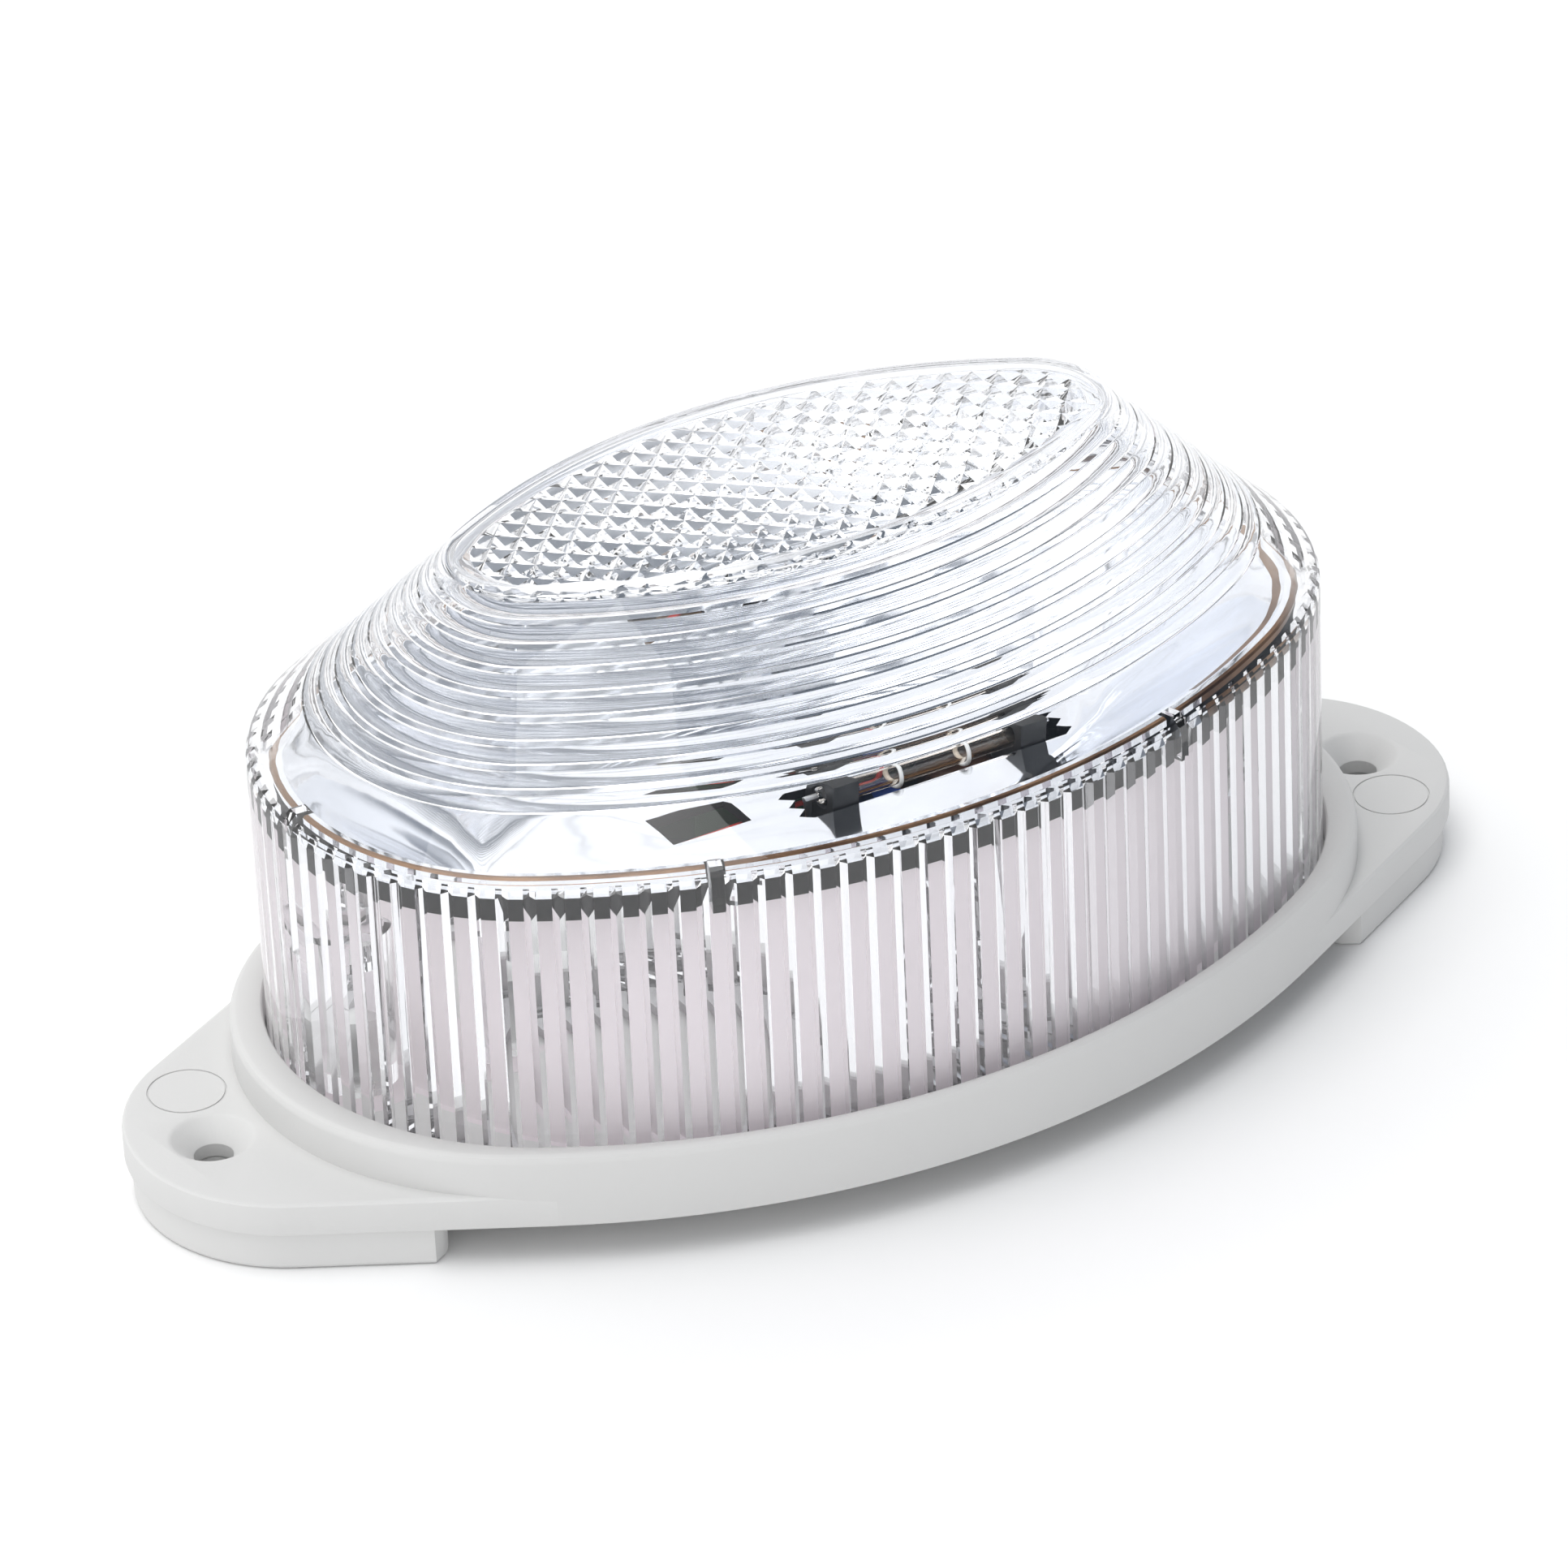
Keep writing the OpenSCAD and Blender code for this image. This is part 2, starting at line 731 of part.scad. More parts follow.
module thyristor() {
    color("black")
        translate([thyristor_at[0], thyristor_at[1], board_top_z])
            difference() {
                cylinder(h = thyristor_h, r = thyristor_r);
                translate([-thyristor_r - cut, -thyristor_r - thyristor_flat, -cut])
                    cube([2 * thyristor_r + 2 * cut, thyristor_r, thyristor_h + 2 * cut]);
            }
}

// Varistor: a disc standing on edge
varistor_at = [11.5, 2.6];
varistor_r = 4;
varistor_t = 3.2;

module varistor() {
    color("royalblue")
        rod_x([varistor_at[0], varistor_at[1], board_top_z + varistor_r], varistor_t, varistor_r);
}

// Fuse: an upright round case with a bevelled top
fuse_at = [21, 3.4];
fuse_r = 4;
fuse_h = 7;
fuse_bevel = 0.6;

module fuse() {
    color("saddlebrown")
        translate([fuse_at[0], fuse_at[1], board_top_z]) {
            cylinder(h = fuse_h, r = fuse_r);
            translate([0, 0, fuse_h])
                cylinder(h = fuse_bevel, r1 = fuse_r, r2 = fuse_r - fuse_bevel);
        }
}

// ---- Terminal block with two rising clamps

module at_poles() {
    for (s = [-1, 1])
        translate([s * pole_pitch / 2, block_y, 0]) children();
}

module terminal_block() {
    color("darkgreen")
        difference() {
            translate([-block_l / 2, block_y - block_w / 2, board_top_z])
                cube([block_l, block_w, block_top_z - board_top_z]);
            at_poles() {
                translate([-cavity_w / 2, -cavity_w / 2, clamp_z - fit_gap])
                    cube([cavity_w, cavity_w, cavity_top_z - clamp_z + fit_gap]);
                translate([0, 0, cavity_top_z - cut])
                    cylinder(h = ledge_t + 2 * cut, r = pole_screw_r + screw_gap);
                translate([0, 0, cavity_top_z + ledge_t])
                    cylinder(h = block_top_z - cavity_top_z, r = pole_head_r + fit_gap);
                translate([0, 0, bar_z - wire_gap / 2])
                    rotate([-90, 0, 0]) cylinder(h = block_w, d = wire_hole_d);
                translate([-bar_w / 2 - 0.1, -block_w, bar_z - 0.1])
                    cube([bar_w + 0.2, block_w, bar_t + 0.2]);
            }
        }
}

// L-shaped brass bars that carry the current from the clamps down to the board
module terminal_bars() {
    front_y = -block_w / 2 - bar_t - 0.2;
    color("goldenrod")
        at_poles() {
            translate([-bar_w / 2, front_y, bar_z])
                cube([bar_w, cavity_w / 2 - front_y, bar_t]);
            translate([-bar_w / 2, front_y, board_top_z])
                cube([bar_w, bar_t, bar_z + bar_t - board_top_z]);
        }
}

module pole_screw(s) {
    color("silver")
        translate([s * pole_pitch / 2, block_y, 0]) {
            translate([0, 0, pole_tip_z])
                cylinder(h = pole_head_z - pole_tip_z, r = pole_screw_r);
            difference() {
                translate([0, 0, pole_head_z]) cylinder(h = pole_head_h, r = pole_head_r);
                translate([-pole_slot[0] / 2 - cut, -pole_slot[1] / 2,
                    pole_head_z + pole_head_h - pole_slot[2]])
                    cube(pole_slot + [2 * cut, 0, cut]);
            }
        }
}

module pole_clamp(s) {
    color("gold")
        translate([s * pole_pitch / 2, block_y, clamp_z])
            difference() {
                translate([-clamp_w / 2, -clamp_w / 2, 0]) cube([clamp_w, clamp_w, clamp_h]);
                translate([-clamp_w / 2 + clamp_wall, -clamp_w, clamp_wall])
                    cube([clamp_w - 2 * clamp_wall, 2 * clamp_w,
                        clamp_h - clamp_wall - clamp_top_t]);
                translate([0, 0, clamp_wall]) cylinder(h = clamp_h, r = pole_screw_r + screw_gap);
            }
}

module terminal_screw_left() {
    pole_screw(-1);
}

module terminal_screw_right() {
    pole_screw(1);
}

module terminal_clamp_left() {
    pole_clamp(-1);
}

module terminal_clamp_right() {
    pole_clamp(1);
}

// ---- Cable grommet

module cable_grommet() {
    color("dimgray")
        translate([0, grommet_y, 0])
            difference() {
                union() {
                    translate([0, 0, foot_h]) cylinder(h = base_wall, r = grommet_neck_r);
                    translate([0, 0, foot_h - grommet_lip])
                        cylinder(h = grommet_lip, r = grommet_lip_r);
                    translate([0, 0, pan_top_z]) cylinder(h = grommet_lip, r = grommet_lip_r);
                }
                translate([0, 0, foot_h - grommet_lip - cut])
                    cylinder(h = base_wall + 2 * grommet_lip + 2 * cut, d = grommet_bore);
            }
}

base_housing();
lens_gasket();
lens_cover();
lens_screws();
reflector_tray();
circuit_board();
board_screws();
solder_joints();
component_leads();
flash_tube();
tube_electrodes();
tube_holders();
trigger_rings();
trigger_lead();
trigger_coil();
coil_winding();
flash_capacitor_left();
flash_capacitor_right();
trigger_capacitor();
rectifier_diodes();
ballast_resistor();
timing_resistors();
thyristor();
varistor();
fuse();
terminal_block();
terminal_bars();
terminal_screw_left();
terminal_screw_right();
terminal_clamp_left();
terminal_clamp_right();
cable_grommet();
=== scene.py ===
import bmesh
import bpy
import math
from mathutils import Matrix, Vector


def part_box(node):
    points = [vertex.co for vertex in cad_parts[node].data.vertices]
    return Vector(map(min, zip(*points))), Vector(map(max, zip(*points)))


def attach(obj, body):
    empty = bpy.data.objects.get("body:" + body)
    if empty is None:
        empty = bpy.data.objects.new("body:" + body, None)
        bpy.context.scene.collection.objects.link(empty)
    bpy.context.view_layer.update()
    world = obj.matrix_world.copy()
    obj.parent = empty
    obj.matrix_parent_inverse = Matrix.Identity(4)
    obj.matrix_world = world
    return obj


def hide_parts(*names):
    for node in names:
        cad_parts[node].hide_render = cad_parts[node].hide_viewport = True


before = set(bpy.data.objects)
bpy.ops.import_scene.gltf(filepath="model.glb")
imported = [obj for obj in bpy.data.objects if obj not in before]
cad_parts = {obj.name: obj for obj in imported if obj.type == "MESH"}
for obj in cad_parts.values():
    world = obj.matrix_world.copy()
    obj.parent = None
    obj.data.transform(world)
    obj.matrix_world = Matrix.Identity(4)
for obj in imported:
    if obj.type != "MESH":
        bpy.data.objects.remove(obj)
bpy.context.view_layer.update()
mm = 0.001

# ---- Base housing
# One moulding in light grey plastic: a rim that the lens drops into, a ring floor, a bucket for the
# electronics, and two ears on feet. It comes from a spark-eroded mould, so its skin is finely pitted.

base_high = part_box("base_housing")[1]
lens_low, lens_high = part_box("lens_cover")
gasket_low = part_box("lens_gasket")[0]
tray_low, tray_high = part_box("reflector_tray")
lens_size = (lens_high[0], lens_high[1])
body_size = (lens_high[0] + 4.0 * mm, base_high[1])
bucket_size = (lens_high[0] - 11.7 * mm, lens_high[1] - 3.3 * mm)
floor_z = gasket_low[2]
rim_z = floor_z + 4.5 * mm
pan_z = floor_z - 3.7 * mm
skirt_z = tray_high[2] - 4.2 * mm
ear_tip = base_high[0]
ear_r = 17.3 * mm
flutes = 108
stations = 3 * flutes


def arcs(size):
    """Places and radii of the end arcs and the side arcs of an oval."""
    a, b = size
    k = (a - b) / 20
    return 28 * k, a - 28 * k, 45 * k, b + 45 * k


def oval_at(size, share):
    """Point and outward direction on an oval, at a share of the way round."""
    end_x, end_r, side_y, side_r = arcs(size)
    turn = math.atan2(45, 28)
    end_l = end_r * turn
    side_l = side_r * (math.pi / 2 - turn)
    along = (share % 1) * 4 * (end_l + side_l)
    quarter, rest = divmod(along, end_l + side_l)
    quarter = int(quarter) % 4
    if quarter % 2:
        rest = end_l + side_l - rest
    if rest < end_l:
        angle = rest / end_r
        x, y = end_x + end_r * math.cos(angle), end_r * math.sin(angle)
    else:
        angle = turn + (rest - end_l) / side_r
        x, y = side_r * math.cos(angle), side_r * math.sin(angle) - side_y
    sx = 1 if quarter in (0, 3) else -1
    sy = 1 if quarter in (0, 1) else -1
    return Vector((sx * x, sy * y)), Vector((sx * math.cos(angle), sy * math.sin(angle)))


even_shares = [i / stations for i in range(stations)]


def oval_ring(size, inset, z, shares=even_shares):
    """Ring of points on an oval set in by inset. inset and z may be one number or one for each point."""
    ring = []
    for i, share in enumerate(shares):
        p, n = oval_at(size, share)
        p = p - n * (inset[i] if isinstance(inset, list) else inset)
        ring.append((p.x, p.y, z[i] if isinstance(z, list) else z))
    return ring


def loft(rings, name, bands=None):
    """Closed skin through rings of equal count, with a flat cap at each end. bands gives each band's
    material number, and its last two entries are the caps'."""
    count = len(rings[0])
    verts = [p for ring in rings for p in ring]
    faces, numbers = [], []
    for r in range(len(rings) - 1):
        for i in range(count):
            j = (i + 1) % count
            faces.append((r * count + i, r * count + j, (r + 1) * count + j, (r + 1) * count + i))
            numbers.append(bands[r] if bands else 0)
    last = (len(rings) - 1) * count
    faces.append(tuple(reversed(range(count))))
    faces.append(tuple(range(last, last + count)))
    numbers += bands[-2:] if bands else [0, 0]
    mesh = bpy.data.meshes.new(name)
    mesh.from_pydata(verts, [], faces)
    mesh.polygons.foreach_set("material_index", numbers)
    obj = bpy.data.objects.new(name, mesh)
    bpy.context.collection.objects.link(obj)
    return obj


def turned(profile, at, name, count=48):
    """Solid of revolution about Z at a place, from a profile of (radius, z) going up."""
    rings = [
        [(at[0] + r * math.cos(2 * math.pi * i / count), at[1] + r * math.sin(2 * math.pi * i / count), z)
         for i in range(count)]
        for r, z in profile
    ]
    return loft(rings, name)


def block(low, high, name):
    """Rectangular solid between two corners, used as a cutter or merged into a larger piece."""
    square = [(low[0], low[1]), (high[0], low[1]), (high[0], high[1]), (low[0], high[1])]
    return loft([[(x, y, z) for x, y in square] for z in (low[2], high[2])], name)


def merge(obj, other, how):
    """Joins, cuts or crosses obj with other, which is used up."""
    step = obj.modifiers.new(how, "BOOLEAN")
    step.operation = how
    step.solver = "EXACT"
    step.object = other
    shaped = bpy.data.meshes.new_from_object(obj.evaluated_get(bpy.context.evaluated_depsgraph_get()))
    obj.modifiers.clear()
    obj.data = shaped
    bpy.data.objects.remove(other)


def gather(obj, other):
    """Puts a separate closed shell into obj's mesh, as another part of the same moulding."""
    both = bmesh.new()
    both.from_mesh(obj.data)
    both.from_mesh(other.data)
    both.to_mesh(obj.data)
    both.free()
    bpy.data.objects.remove(other)


def smooth(obj, angle=22):
    """Smooth shading, kept crisp along edges sharper than angle, in degrees."""
    obj.data.polygons.foreach_set("use_smooth", [True] * len(obj.data.polygons))
    obj.data.set_sharp_from_angle(angle=math.radians(angle))


def finish_piece(obj, body, materials, nodes):
    """Gives a finished mesh its materials and its place in the frame, and hides the CAD nodes it stands for.
    """
    if list(obj.data.materials) != materials:
        obj.data.materials.clear()
        for material in materials:
            obj.data.materials.append(material)
    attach(obj, body)
    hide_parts(*nodes)


def plastic(name, colour, roughness, grain, depth, tint=0.03, coat=0.0):
    """Moulded plastic: a colour that drifts a little, pitted by a noise of that grain in metres."""
    material = bpy.data.materials.new(name)
    material.use_nodes = True
    tree = material.node_tree
    shader = tree.nodes["Principled BSDF"]
    shader.inputs["Coat Weight"].default_value = coat
    place = tree.nodes.new("ShaderNodeTexCoord")
    drift = tree.nodes.new("ShaderNodeTexNoise")
    drift.inputs["Scale"].default_value = 60
    drift.inputs["Detail"].default_value = 4
    pits = tree.nodes.new("ShaderNodeTexNoise")
    pits.inputs["Scale"].default_value = 1 / grain
    pits.inputs["Detail"].default_value = 3
    ramp = tree.nodes.new("ShaderNodeValToRGB")
    ramp.color_ramp.elements[0].color = (*[c * (1 - tint) for c in colour], 1)
    ramp.color_ramp.elements[1].color = (*[min(1, c * (1 + tint)) for c in colour], 1)
    rough = tree.nodes.new("ShaderNodeMapRange")
    rough.inputs["To Min"].default_value = roughness - 0.06
    rough.inputs["To Max"].default_value = roughness + 0.06
    bump = tree.nodes.new("ShaderNodeBump")
    bump.inputs["Strength"].default_value = 0.5
    bump.inputs["Distance"].default_value = depth
    for a, b in (
        (place.outputs["Object"], drift.inputs["Vector"]), (place.outputs["Object"], pits.inputs["Vector"]),
        (drift.outputs["Fac"], ramp.inputs["Fac"]), (ramp.outputs["Color"], shader.inputs["Base Color"]),
        (drift.outputs["Fac"], rough.inputs["Value"]), (rough.outputs["Result"], shader.inputs["Roughness"]),
        (pits.outputs["Fac"], bump.inputs["Height"]), (bump.outputs["Normal"], shader.inputs["Normal"]),
    ):
        tree.links.new(a, b)
    return material


def depth_below_lens(p):
    """How far a point lies inside the lens's outline."""
    end_x, end_r, side_y, side_r = arcs(lens_size)
    x, y = abs(p[0]), abs(p[1])
    if (x - end_x) * 45 > y * 28:
        return end_r - math.hypot(x - end_x, y)
    return side_r - math.hypot(x, y + side_y)


dish_lean = 1.023
dish_clearance = 1.35 * mm


def bucket_top(inset):
    """Height of the bucket's edge at each station, cut down at the ends to clear the dish."""
    ring = oval_ring(bucket_size, inset, 0)
    return [min(skirt_z, tray_high[2] - (depth_below_lens(p) - dish_clearance) / dish_lean) for p in ring]


underside = [
    oval_ring(bucket_size, 0.4 * mm, pan_z), oval_ring(bucket_size, 0, pan_z + 0.3 * mm),
    oval_ring(bucket_size, 0, pan_z + 1.7 * mm), oval_ring(body_size, 2.0 * mm, pan_z + 1.7 * mm),
    oval_ring(body_size, 2.0 * mm, pan_z), oval_ring(body_size, 0.5 * mm, pan_z),
]
outside = [
    oval_ring(body_size, inset * mm, z)
    for inset, z in (
        (0.15, pan_z + 0.12 * mm), (0, pan_z + 0.45 * mm), (0, rim_z - 1.0 * mm), (0.08, rim_z - 0.6 * mm),
        (0.28, rim_z - 0.27 * mm), (0.6, rim_z - 0.07 * mm), (0.8, rim_z),
    )
]
inside = [
    oval_ring(lens_size, inset * mm, z)
    for inset, z in ((-0.75, rim_z), (-0.5, rim_z - 0.09 * mm), (-0.34, rim_z - 0.3 * mm),
                     (-0.3, rim_z - 0.6 * mm), (-0.3, floor_z))
]
bucket_edge = bucket_top(0)
bucket_lip = bucket_top(2.0 * mm)
bucket = [
    oval_ring(bucket_size, -0.6 * mm, floor_z), oval_ring(bucket_size, -0.15 * mm, floor_z + 0.15 * mm),
    oval_ring(bucket_size, 0, floor_z + 0.6 * mm), oval_ring(bucket_size, 0, bucket_edge),
    oval_ring(bucket_size, 2.0 * mm, bucket_lip), oval_ring(bucket_size, 2.0 * mm, pan_z + 2.0 * mm),
]
base = loft(underside + outside + inside + bucket, "housing")

post_x = bucket_size[0] + 4.5 * mm
boss_r = 4.6 * mm
lens_screw_r = 1.75 * mm
grommet_r = 4.7 * mm
for side in (-1, 1):
    at_post = (side * post_x, 0)
    boss = turned([(boss_r, pan_z + 0.02 * mm), (boss_r, floor_z + 0.02 * mm)], at_post, "boss")
    merge(base, boss, "UNION")
    way = turned([(lens_screw_r, pan_z - mm), (lens_screw_r, floor_z + mm)], at_post, "screw_way")
    merge(base, way, "DIFFERENCE")
grommet_low, grommet_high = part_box("cable_grommet")
grommet_y = (grommet_low[1] + grommet_high[1]) / 2
cable_way = turned([(grommet_r, pan_z - mm), (grommet_r, pan_z + 3 * mm)], (0, grommet_y), "cable_way")
merge(base, cable_way, "DIFFERENCE")


def ear_outline(inset, inner_x=None):
    """Outline of the ear at +X: its round end, and its two straight flanks that run on to the body.
    With inner_x the outline is a foot's, which ends there in two rounded corners."""
    end_x, end_r, side_y, side_r = arcs(body_size)
    ear_x = ear_tip - ear_r
    flank = math.atan2(side_y, ear_x) + math.acos((side_r - ear_r) / math.hypot(ear_x, side_y))
    steps = 28
    points = [
        (ear_x + (ear_r - inset) * math.cos(a), (ear_r - inset) * math.sin(a))
        for a in (flank * (2 * i / steps - 1) for i in range(steps + 1))
    ]
    if inner_x is None:
        root = (side_r - inset) * math.cos(flank), (side_r - inset) * math.sin(flank) - side_y
        return points + [root, (root[0], -root[1])]
    corner = 2.0 * mm - inset / 2
    far = inner_x + inset / 2
    tip = points[-1]
    tangent = tip[1] + (tip[0] - far - 1.4 * corner) / math.tan(flank)
    upper = [(far + 1.4 * corner, tangent)] + [
        (far + corner * (1 - math.cos(a)), tangent - corner * (1.35 - math.sin(a)))
        for a in (math.radians(75), math.radians(50), math.radians(25), 0)
    ]
    return points + upper + [(x, -y) for x, y in reversed(upper)]


def turned_round(points, side):
    """The +X ear's points, or the same turned half way round for the other ear."""
    return points if side > 0 else [(-x, -y) for x, y in points]


hole_x = ear_tip - 8.05 * mm
hole_r = 2.0 * mm
pocket_r = 3.35 * mm
mark_at = (hole_x - 1.6 * mm, -8.9 * mm)
ear_edge = ((0.45, 0), (0.12, 0.12), (0, 0.4), (0, 3.05), (0.09, 3.4), (0.3, 3.61), (0.6, 3.7))
foot_edge = ((0.5, 0), (0.15, 0.1), (0, 0.4), (0, 4.4))
for side in (-1, 1):
    rings = [
        [(x, y, pan_z + z * mm) for x, y in turned_round(ear_outline(inset * mm), side)]
        for inset, z in ear_edge
    ]
    ear = loft(rings, "ear")
    inner_face = loft([oval_ring(body_size, 0.5 * mm, z) for z in (0, rim_z)], "inner_face")
    merge(ear, inner_face, "DIFFERENCE")
    bore = turned(
        [(hole_r, -mm), (hole_r, floor_z - 2.1 * mm), (2.15 * mm, floor_z - 1.9 * mm),
         (4.0 * mm, floor_z - 0.22 * mm), (4.3 * mm, floor_z - 0.05 * mm), (4.7 * mm, floor_z + 0.02 * mm),
         (4.7 * mm, floor_z + mm)],
        (side * hole_x, 0), "bore")
    merge(ear, bore, "DIFFERENCE")
    groove = turned([(4.0 * mm, floor_z - 0.16 * mm), (4.08 * mm, floor_z + mm)],
                    (side * mark_at[0], side * mark_at[1]), "groove")
    core = turned([(3.84 * mm, floor_z - mm), (3.76 * mm, floor_z + 2 * mm)],
                  (side * mark_at[0], side * mark_at[1]), "core")
    merge(groove, core, "DIFFERENCE")
    merge(ear, groove, "DIFFERENCE")
    rings = [
        [(x, y, z * mm) for x, y in turned_round(ear_outline((0.7 + inset) * mm, ear_tip - 24 * mm), side)]
        for inset, z in foot_edge
    ]
    block_foot = loft(rings, "foot")
    for r, x in ((hole_r, hole_x), (pocket_r, post_x)):
        merge(block_foot, turned([(r, -mm), (r, floor_z)], (side * x, 0), "foot_bore"), "DIFFERENCE")
    gather(base, ear)
    gather(base, block_foot)
smooth(base, 25)

# the bucket's outside, seen through the flutes, gets a lighter, pinkish copy of the base plastic: painted
# light for the light the mirrored dish throws on it, since it is the same moulding
base_plastic = plastic("light grey plastic", (0.61, 0.61, 0.605), 0.52, 0.35 * mm, 0.03 * mm, 0.02)
bucket_painted_light_plastic = plastic("bucket plastic painted lighter", (0.70, 0.64, 0.67), 0.45, 0.5 * mm, 0.03 * mm, 0.03)
for skin in (base_plastic, bucket_painted_light_plastic):
    base.data.materials.append(skin)
# outward faces of the bucket under the lens take the lighter copy, which is painted light and not a colour of
# their own
for face in base.data.polygons:
    outward = face.normal.x * face.center.x + face.normal.y * face.center.y
    if outward > 0 and depth_below_lens(face.center) > 2.5 * mm and face.center.z > pan_z + 2.5 * mm:
        face.material_index = 1
finish_piece(base, "base", [base_plastic, bucket_painted_light_plastic], ["base_housing"])

# ---- Lens gasket
# A ring of grey closed-cell foam, cut from sheet, which the foot of the lens presses into.

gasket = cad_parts["lens_gasket"]
foam = plastic("grey foam", (0.52, 0.52, 0.53), 0.85, 0.25 * mm, 0.12 * mm, 0.12)
gasket.data.materials.clear()
gasket.data.materials.append(foam)

# ---- Reflector
# A dish moulded in black plastic and metallised on its inside only. The metal runs out in a brown
# film along its rim, and its floor is pierced for the flash tube and for the trigger lead.

skirt_inset = 2.8 * mm
rim_inset = 4.1 * mm
dish_inset = 17.6 * mm
top = tray_high[2]
under = tray_low[2]
floor_top = under + 1.5 * mm
lean = dish_inset / (top - floor_top)
side_wall = 1.5 * mm * math.sqrt(1 + lean * lean)


def dish_at(z):
    """Inset of the mirrored face at a height."""
    return rim_inset + (top - z) * lean


bend = 2.2 * mm
outer_rings = [
    (dish_at(under) - side_wall + 0.3 * mm, under), (dish_at(skirt_z) - side_wall, skirt_z),
    (skirt_inset, skirt_z), (skirt_inset, top - 0.9 * mm), (skirt_inset, top - 0.2 * mm),
    (3.0 * mm, top), (3.35 * mm, top),
    (rim_inset - 0.25 * mm, top), (rim_inset + 0.05 * mm, top - 0.25 * mm),
]
dish_rings = [(dish_at(top - 2.4 * mm * i), top - 2.4 * mm * i) for i in (0.3, 1, 2, 3, 4, 5, 6)]
dish_rings += [
    (dish_at(floor_top + bend * 0.7), floor_top + bend * 0.7),
    (dish_at(floor_top + bend * 0.3) + 0.15 * mm, floor_top + bend * 0.33),
    (dish_at(floor_top) + 0.3 * mm, floor_top + bend * 0.11),
    (dish_at(floor_top) + 1.3 * mm, floor_top),
]
black_plastic = plastic("black tray plastic", (0.006, 0.006, 0.007), 0.6, 0.5 * mm, 0.02 * mm, 0.1)
black_plastic.node_tree.nodes["Principled BSDF"].inputs["Specular IOR Level"].default_value = 0.15


def metal_skin(name, colour, roughness, wave, depth, stain=None):
    """Metallised or plated skin: slightly wavy, with a roughness that drifts."""
    material = bpy.data.materials.new(name)
    material.use_nodes = True
    tree = material.node_tree
    shader = tree.nodes["Principled BSDF"]
    shader.inputs["Metallic"].default_value = 1
    place = tree.nodes.new("ShaderNodeTexCoord")
    waves = tree.nodes.new("ShaderNodeTexNoise")
    waves.inputs["Scale"].default_value = 1 / wave
    waves.inputs["Detail"].default_value = 2
    haze = tree.nodes.new("ShaderNodeTexNoise")
    haze.inputs["Scale"].default_value = 90
    haze.inputs["Detail"].default_value = 6
    ramp = tree.nodes.new("ShaderNodeValToRGB")
    ramp.color_ramp.elements[0].position = 0.35
    ramp.color_ramp.elements[0].color = (*(stain or [c * 0.93 for c in colour]), 1)
    ramp.color_ramp.elements[1].position = 0.62
    ramp.color_ramp.elements[1].color = (*colour, 1)
    rough = tree.nodes.new("ShaderNodeMapRange")
    rough.inputs["To Min"].default_value = roughness * 0.6
    rough.inputs["To Max"].default_value = roughness * 1.5
    bump = tree.nodes.new("ShaderNodeBump")
    bump.inputs["Strength"].default_value = 0.35
    bump.inputs["Distance"].default_value = depth
    for a, b in (
        (place.outputs["Object"], waves.inputs["Vector"]), (place.outputs["Object"], haze.inputs["Vector"]),
        (haze.outputs["Fac"], ramp.inputs["Fac"]), (ramp.outputs["Color"], shader.inputs["Base Color"]),
        (haze.outputs["Fac"], rough.inputs["Value"]), (rough.outputs["Result"], shader.inputs["Roughness"]),
        (waves.outputs["Fac"], bump.inputs["Height"]), (bump.outputs["Normal"], shader.inputs["Normal"]),
    ):
        tree.links.new(a, b)
    return material


mirror_skin = metal_skin("metallised dish", (0.88, 0.90, 0.94), 0.06, 9 * mm, 0.12 * mm)
brown_film = metal_skin("brown edge film", (0.30, 0.17, 0.09), 0.35, 3 * mm, 0.05 * mm, (0.12, 0.06, 0.03))
black, film, mirror = 0, 1, 2
bands = [black, black, black, mirror, film, film, mirror, mirror] + [mirror] * 11 + [black, mirror]
tray = loft([oval_ring(lens_size, d, z) for d, z in outer_rings + dish_rings], "dish", bands)
# the materials go on before the merges, which would drop the faces' material numbers otherwise
for skin in (black_plastic, brown_film, mirror_skin):
    tray.data.materials.append(skin)
for face in tray.data.polygons:
    if face.center.x > 30 * mm and face.center.y < 0 and top - 0.9 * mm < face.center.z < top - 0.2 * mm:
        face.material_index = film

tube_low, tube_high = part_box("flash_tube")
tube_y = (tube_low[1] + tube_high[1]) / 2
tube_z = (tube_low[2] + tube_high[2]) / 2
tube_r = (tube_high[2] - tube_low[2]) / 2
slot_half = 3.2 * mm
teeth = 6


def ragged_end(x, out, side):
    """One sawn end of the tube's slot, as points across the slot."""
    return [
        (x + out * (1.3 * mm if i % 2 else 0), tube_y + side * slot_half * (2 * i / teeth - 1))
        for i in range(teeth + 1)
    ]


slot = ragged_end(tube_high[0] + 1.9 * mm, 1, 1) + ragged_end(tube_low[0] - 1.9 * mm, -1, -1)
merge(tray, loft([[(x, y, z) for x, y in slot] for z in (under - mm, floor_top + mm)], "slot"), "DIFFERENCE")
lead_hole = block((-15.5 * mm, -3 * mm, under - mm), (-6.5 * mm, 3 * mm, floor_top + mm), "lead hole")
merge(tray, lead_hole, "DIFFERENCE")

rib_x = 26.5 * mm
rib_half = 0.65 * mm


def rib_stations():
    """Share of the way round, for each locating rib of the lens."""
    end_x, end_r, side_y, side_r = arcs(lens_size)
    turn = math.atan2(45, 28)
    end_l = end_r * turn
    side_l = side_r * (math.pi / 2 - turn)
    quarter = end_l + side_r * (math.acos(rib_x / side_r) - turn)
    share = quarter / (4 * (end_l + side_l))
    return [0, share, 0.5 - share, 0.5, 0.5 + share, 1 - share]


